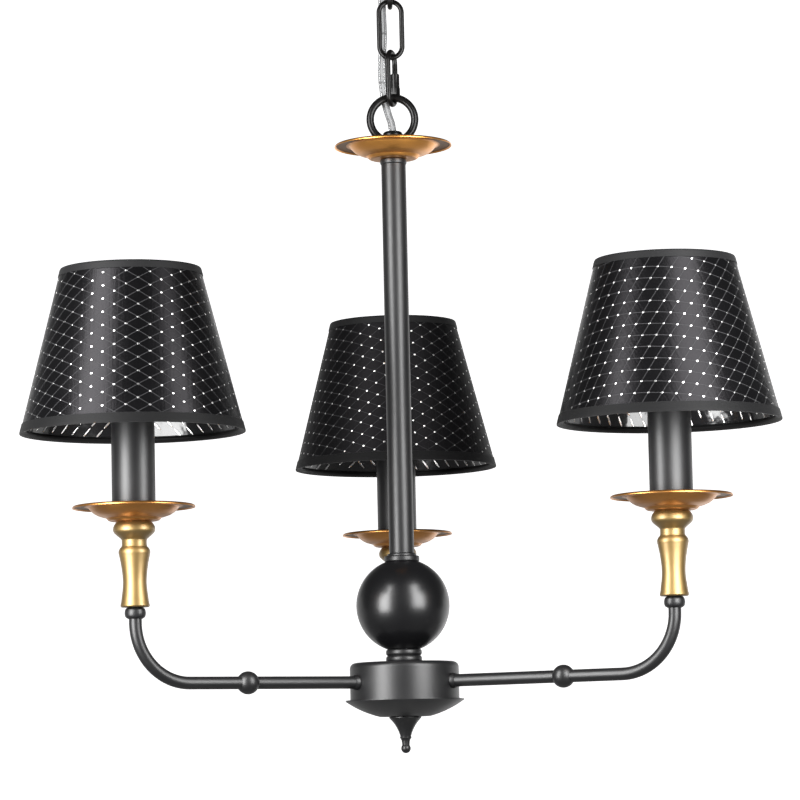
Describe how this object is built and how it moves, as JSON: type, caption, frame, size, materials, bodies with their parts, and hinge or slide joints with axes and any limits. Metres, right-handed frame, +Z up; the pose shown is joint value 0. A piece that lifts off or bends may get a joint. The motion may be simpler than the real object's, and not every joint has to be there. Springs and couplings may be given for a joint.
{
  "type": "chandelier",
  "caption": "Chain-hung black and brass chandelier with curved arms, brass drip pans and balusters, and tapered black fabric shades on candle sleeves.",
  "frame": {"origin": "on the ceiling, at the chain's axis and the middle of the bracket's two screw slots", "axes": "+Z up into the ceiling, -Y the front; one arm points back along +Y, and the bracket's slots lie along Y"},
  "size_m": [0.4728, 0.4284, 0.5883],
  "materials": {
    "satin_black": "fine satin powder coat",
    "ball_black": "smooth semi-gloss paint",
    "chain_black": "semi-gloss enamel",
    "antique_brass": "satin lacquered antique brass",
    "zinc_steel": "zinc plated",
    "clear_cord": "clear soft jacket over two tinned conductors",
    "wire_sheath": "smooth sheath",
    "terminal_plastic": "moulded",
    "holder_plastic": "moulded",
    "bulb_glass": "frosted",
    "shade_fabric": "black satin with a woven lattice of light dots, on card",
    "shade_wire": "coated wire"
  },
  "bodies": {
    "ceiling_mount": {"mounting_bracket": "zinc_steel", "ceiling_canopy": "satin_black", "canopy_nipple": "zinc_steel", "canopy_nuts": "zinc_steel", "canopy_loop": "chain_black", "ceiling_terminal": "terminal_plastic", "canopy_cord": "clear_cord", "supply_cord_1": "clear_cord"},
    "upper_link": {"chain_link_upper": "chain_black", "supply_cord_2": "clear_cord"},
    "lower_link": {"chain_link_lower": "chain_black", "supply_cord_3": "clear_cord"},
    "screw_link": {"quick_link": "chain_black", "supply_cord_4": "clear_cord"},
    "screw_link_nut": {"quick_link_nut": "chain_black"},
    "lamp_frame": {"stem_cord": "clear_cord", "hanging_loop": "chain_black", "top_dish": "antique_brass", "stem_cap": "satin_black", "stem_tube": "satin_black", "stem_foot": "satin_black", "ball": "ball_black", "ball_neck": "satin_black", "hub_cup": "satin_black", "hub_saucer": "satin_black", "finial": "satin_black", "centre_rod": "zinc_steel", "hub_nut": "zinc_steel", "crimp_caps": "terminal_plastic", "arm_beads": "satin_black", "arm_ferrules": "satin_black", "arm_nuts": "zinc_steel", "end_beads": "satin_black", "lampholders": "holder_plastic", "lamp_nipples": "zinc_steel", "bulbs": "bulb_glass", "shade_ring_nuts": "holder_plastic", "arm_wires": "wire_sheath", "arm_1": "satin_black", "arm_2": "satin_black", "arm_3": "satin_black", "baluster_1": "antique_brass", "baluster_2": "antique_brass", "baluster_3": "antique_brass", "drip_pan_1": "antique_brass", "drip_pan_2": "antique_brass", "drip_pan_3": "antique_brass", "candle_sleeve_1": "satin_black", "candle_sleeve_2": "satin_black", "candle_sleeve_3": "satin_black"},
    "shade_1": {"shade_cover_1": "shade_fabric", "shade_carrier_1": "shade_wire", "shade_hem_ring_1": "shade_wire"},
    "shade_2": {"shade_cover_2": "shade_fabric", "shade_carrier_2": "shade_wire", "shade_hem_ring_2": "shade_wire"},
    "shade_3": {"shade_cover_3": "shade_fabric", "shade_carrier_3": "shade_wire", "shade_hem_ring_3": "shade_wire"}
  },
  "joints": [
    {"name": "upper_link_swing", "type": "hinge", "parent": "ceiling_mount", "child": "upper_link", "pos_m": [0, 0, -0.07], "axis": [1, 0, 0], "range_deg": [-20, 20], "deforming": ["supply_cord_1"]},
    {"name": "lower_link_swing", "type": "hinge", "parent": "upper_link", "child": "lower_link", "pos_m": [0, 0, -0.10275], "axis": [0, 1, 0], "range_deg": [-20, 20], "deforming": ["supply_cord_2"]},
    {"name": "screw_link_swing", "type": "hinge", "parent": "lower_link", "child": "screw_link", "pos_m": [0, 0, -0.13635], "axis": [1, 0, 0], "range_deg": [-20, 20], "deforming": ["supply_cord_3"]},
    {"name": "screw_link_nut_travel", "type": "slide", "parent": "screw_link", "child": "screw_link_nut", "axis": [0, 0, 1], "range_m": [0, 0.0062]},
    {"name": "lamp_swing", "type": "hinge", "parent": "screw_link", "child": "lamp_frame", "pos_m": [0, 0, -0.1673], "axis": [0.342, 0.9397, 0], "range_deg": [-20, 20], "deforming": ["supply_cord_4"]},
    {"name": "shade_1_turn", "type": "hinge", "parent": "lamp_frame", "child": "shade_1", "pos_m": [-0.16628, -0.096, -0.37062], "axis": [0, 0, 1], "continuous": true},
    {"name": "shade_2_turn", "type": "hinge", "parent": "lamp_frame", "child": "shade_2", "pos_m": [0.16628, -0.096, -0.37062], "axis": [0, 0, 1], "continuous": true},
    {"name": "shade_3_turn", "type": "hinge", "parent": "lamp_frame", "child": "shade_3", "pos_m": [0, 0.192, -0.37062], "axis": [0, 0, 1], "continuous": true}
  ]
}
